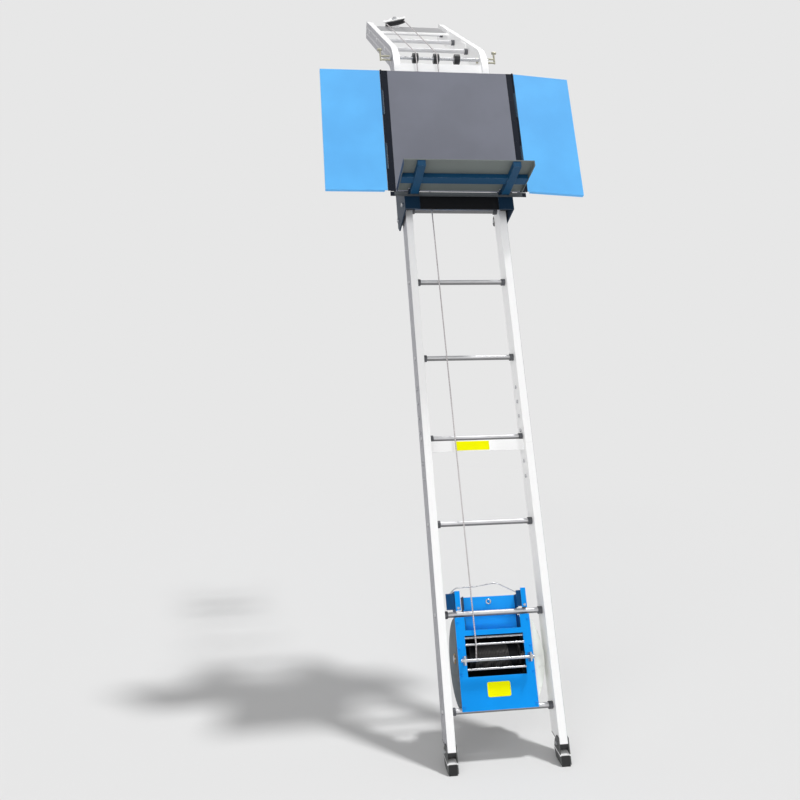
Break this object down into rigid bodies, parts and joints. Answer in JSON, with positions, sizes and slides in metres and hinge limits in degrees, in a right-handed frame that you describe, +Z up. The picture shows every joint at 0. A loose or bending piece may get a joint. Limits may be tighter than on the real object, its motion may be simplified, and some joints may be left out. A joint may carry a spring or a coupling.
{
  "type": "material hoist",
  "caption": "Leaning rail ladder with a bent head, a rope winch at its foot and a rolling load carriage with folding wings and a folding shelf.",
  "frame": {"origin": "on the floor midway between the two feet, in the plane of the stiles' front faces", "axes": "+X to the right across the ladder, +Y backwards to the roof, +Z up"},
  "size_m": [1.0957, 2.4638, 3.0539],
  "materials": {
    "stile_metal": "pale anodised, lightly brushed",
    "rung_metal": "brushed",
    "collar_plastic": "moulded",
    "sleeve_metal": "mill finish",
    "zinc_steel": "zinc plated",
    "white_paint": "satin powder coat",
    "grey_paint": "matt powder coat",
    "yellow_film": "plain adhesive film",
    "wing_paint": "satin powder coat",
    "blue_paint": "satin powder coat",
    "cheek_paint": "satin powder coat",
    "navy_paint": "satin powder coat",
    "black_paint": "satin powder coat",
    "case_plastic": "fine moulded grain",
    "black_plastic": "moulded",
    "shoe_paint": "dark zinc",
    "rubber": "moulded rubber",
    "rope_steel": "stranded steel wire",
    "roller_nylon": "turned nylon",
    "bronze": "turned bronze"
  },
  "bodies": {
    "root": {"lower_stile_left": "stile_metal", "lower_stile_right": "stile_metal", "upper_stile_left": "stile_metal", "upper_stile_right": "stile_metal", "head_stile_left": "stile_metal", "head_stile_right": "stile_metal", "rungs": "rung_metal", "rung_collars": "collar_plastic", "stile_sleeves": "sleeve_metal", "bolts": "zinc_steel", "roller_shaft": "zinc_steel", "pivot_pins": "zinc_steel", "winch_rods": "zinc_steel", "carry_bail": "zinc_steel", "cross_plates": "white_paint", "sheave_fork": "white_paint", "knee_gussets": "white_paint", "sheave_plate": "grey_paint", "yellow_labels": "yellow_film", "winch_front_plate": "blue_paint", "winch_recess_panel": "blue_paint", "winch_hooks": "blue_paint", "winch_cheeks": "cheek_paint", "motor_casing": "black_paint", "winch_back_cover": "black_paint", "gear_case": "case_plastic", "stile_end_plugs": "black_plastic", "hoist_rope": "rope_steel", "drum_bushes": "bronze"},
    "carriage": {"carriage_side_plates": "blue_paint", "carriage_crossbars": "blue_paint", "safety_plate": "black_paint", "back_panel": "grey_paint", "hinge_strips": "navy_paint", "hinge_pins": "zinc_steel", "roller_axles": "zinc_steel", "rope_fall": "rope_steel"},
    "wing_left": {"wing_left": "wing_paint"},
    "wing_right": {"wing_right": "wing_paint"},
    "shelf": {"shelf_plate": "grey_paint", "shelf_frame": "blue_paint"},
    "drum": {"drum": "black_paint", "drum_shaft": "zinc_steel", "drum_rope": "rope_steel"},
    "motor_rotor": {"motor_rotor": "zinc_steel"},
    "idler_gear": {"idler_gear": "zinc_steel"},
    "head_sheave": {"head_sheave": "roller_nylon"},
    "knee_roller_left": {"knee_roller_left": "roller_nylon"},
    "knee_roller_middle": {"knee_roller_middle": "roller_nylon"},
    "knee_roller_right": {"knee_roller_right": "roller_nylon"},
    "rollers_front_low": {"rollers_front_low": "roller_nylon"},
    "rollers_rear_low": {"rollers_rear_low": "roller_nylon"},
    "rollers_front_high": {"rollers_front_high": "roller_nylon"},
    "rollers_rear_high": {"rollers_rear_high": "roller_nylon"},
    "foot_left": {"foot_shoe_left": "shoe_paint", "foot_pad_left": "rubber"},
    "foot_right": {"foot_shoe_right": "shoe_paint", "foot_pad_right": "rubber"},
    "knee_pin_left": {"knee_pin_left": "zinc_steel"},
    "knee_pin_right": {"knee_pin_right": "zinc_steel"}
  },
  "joints": [
    {"name": "carriage_slide", "type": "slide", "parent": "root", "child": "carriage", "axis": [0, 0.4633, 0.8862], "range_m": [-1.9, 0.1], "deforming": ["rope_fall"]},
    {"name": "wing_left_fold", "type": "hinge", "parent": "carriage", "child": "wing_left", "pos_m": [-0.289, 1.0869, 2.2528], "axis": [0, 0.4633, 0.8862], "range_deg": [0, 90]},
    {"name": "wing_right_fold", "type": "hinge", "parent": "carriage", "child": "wing_right", "pos_m": [0.289, 1.0869, 2.2528], "axis": [0, -0.4633, -0.8862], "range_deg": [0, 96]},
    {"name": "shelf_fold", "type": "hinge", "parent": "carriage", "child": "shelf", "pos_m": [0, 0.9426, 2.01455], "axis": [-1, 0, 0], "range_deg": [0, 88]},
    {"name": "drum_spin", "type": "hinge", "parent": "root", "child": "drum", "pos_m": [-0.008, 0.25257, 0.30612], "axis": [1, 0, 0], "continuous": true, "deforming": ["drum_rope"]},
    {"name": "motor_spin", "type": "hinge", "parent": "root", "child": "motor_rotor", "pos_m": [-0.008, 0.19697, 0.19978], "axis": [1, 0, 0], "continuous": true},
    {"name": "idler_spin", "type": "hinge", "parent": "root", "child": "idler_gear", "pos_m": [-0.008, 0.23529, 0.24398], "axis": [1, 0, 0], "continuous": true},
    {"name": "head_sheave_spin", "type": "hinge", "parent": "root", "child": "head_sheave", "pos_m": [-0.0615, 2.39902, 3.0144], "axis": [-0.225, -0.3188, 0.9207], "continuous": true},
    {"name": "knee_roller_left_spin", "type": "hinge", "parent": "root", "child": "knee_roller_left", "pos_m": [-0.109, 1.41728, 2.62682], "axis": [1, 0, 0], "continuous": true},
    {"name": "knee_roller_middle_spin", "type": "hinge", "parent": "root", "child": "knee_roller_middle", "pos_m": [-0.014, 1.41728, 2.62682], "axis": [1, 0, 0], "continuous": true},
    {"name": "knee_roller_right_spin", "type": "hinge", "parent": "root", "child": "knee_roller_right", "pos_m": [0.081, 1.41728, 2.62682], "axis": [1, 0, 0], "continuous": true},
    {"name": "rollers_front_low_spin", "type": "hinge", "parent": "carriage", "child": "rollers_front_low", "pos_m": [0, 0.99949, 1.95998], "axis": [1, 0, 0], "continuous": true},
    {"name": "rollers_rear_low_spin", "type": "hinge", "parent": "carriage", "child": "rollers_rear_low", "pos_m": [0, 1.11434, 1.89994], "axis": [1, 0, 0], "continuous": true},
    {"name": "rollers_front_high_spin", "type": "hinge", "parent": "carriage", "child": "rollers_front_high", "pos_m": [0, 1.25893, 2.45625], "axis": [1, 0, 0], "continuous": true},
    {"name": "rollers_rear_high_spin", "type": "hinge", "parent": "carriage", "child": "rollers_rear_high", "pos_m": [0, 1.37379, 2.39621], "axis": [1, 0, 0], "continuous": true},
    {"name": "foot_left_tilt", "type": "hinge", "parent": "root", "child": "foot_left", "pos_m": [-0.2, 0.056, 0.06], "axis": [1, 0, 0], "range_deg": [-20, 20]},
    {"name": "foot_right_tilt", "type": "hinge", "parent": "root", "child": "foot_right", "pos_m": [0.2, 0.056, 0.06], "axis": [1, 0, 0], "range_deg": [-20, 20]},
    {"name": "knee_pin_left_pull", "type": "slide", "parent": "root", "child": "knee_pin_left", "axis": [-1, 0, 0], "range_m": [0, 0.055]},
    {"name": "knee_pin_right_pull", "type": "slide", "parent": "root", "child": "knee_pin_right", "axis": [1, 0, 0], "range_m": [0, 0.055]}
  ],
  "couplings": [
    {"joint": "drum_spin", "follows": "carriage_slide", "rad_per_m": 22.396},
    {"joint": "motor_spin", "follows": "carriage_slide", "rad_per_m": 130.18},
    {"joint": "idler_spin", "follows": "carriage_slide", "rad_per_m": -57.857},
    {"joint": "head_sheave_spin", "follows": "carriage_slide", "rad_per_m": 21.053},
    {"joint": "knee_roller_left_spin", "follows": "carriage_slide", "rad_per_m": 40},
    {"joint": "knee_roller_middle_spin", "follows": "carriage_slide", "rad_per_m": -40},
    {"joint": "rollers_front_low_spin", "follows": "carriage_slide", "rad_per_m": -45.455},
    {"joint": "rollers_front_high_spin", "follows": "carriage_slide", "rad_per_m": -45.455},
    {"joint": "rollers_rear_low_spin", "follows": "carriage_slide", "rad_per_m": 45.455},
    {"joint": "rollers_rear_high_spin", "follows": "carriage_slide", "rad_per_m": 45.455}
  ]
}
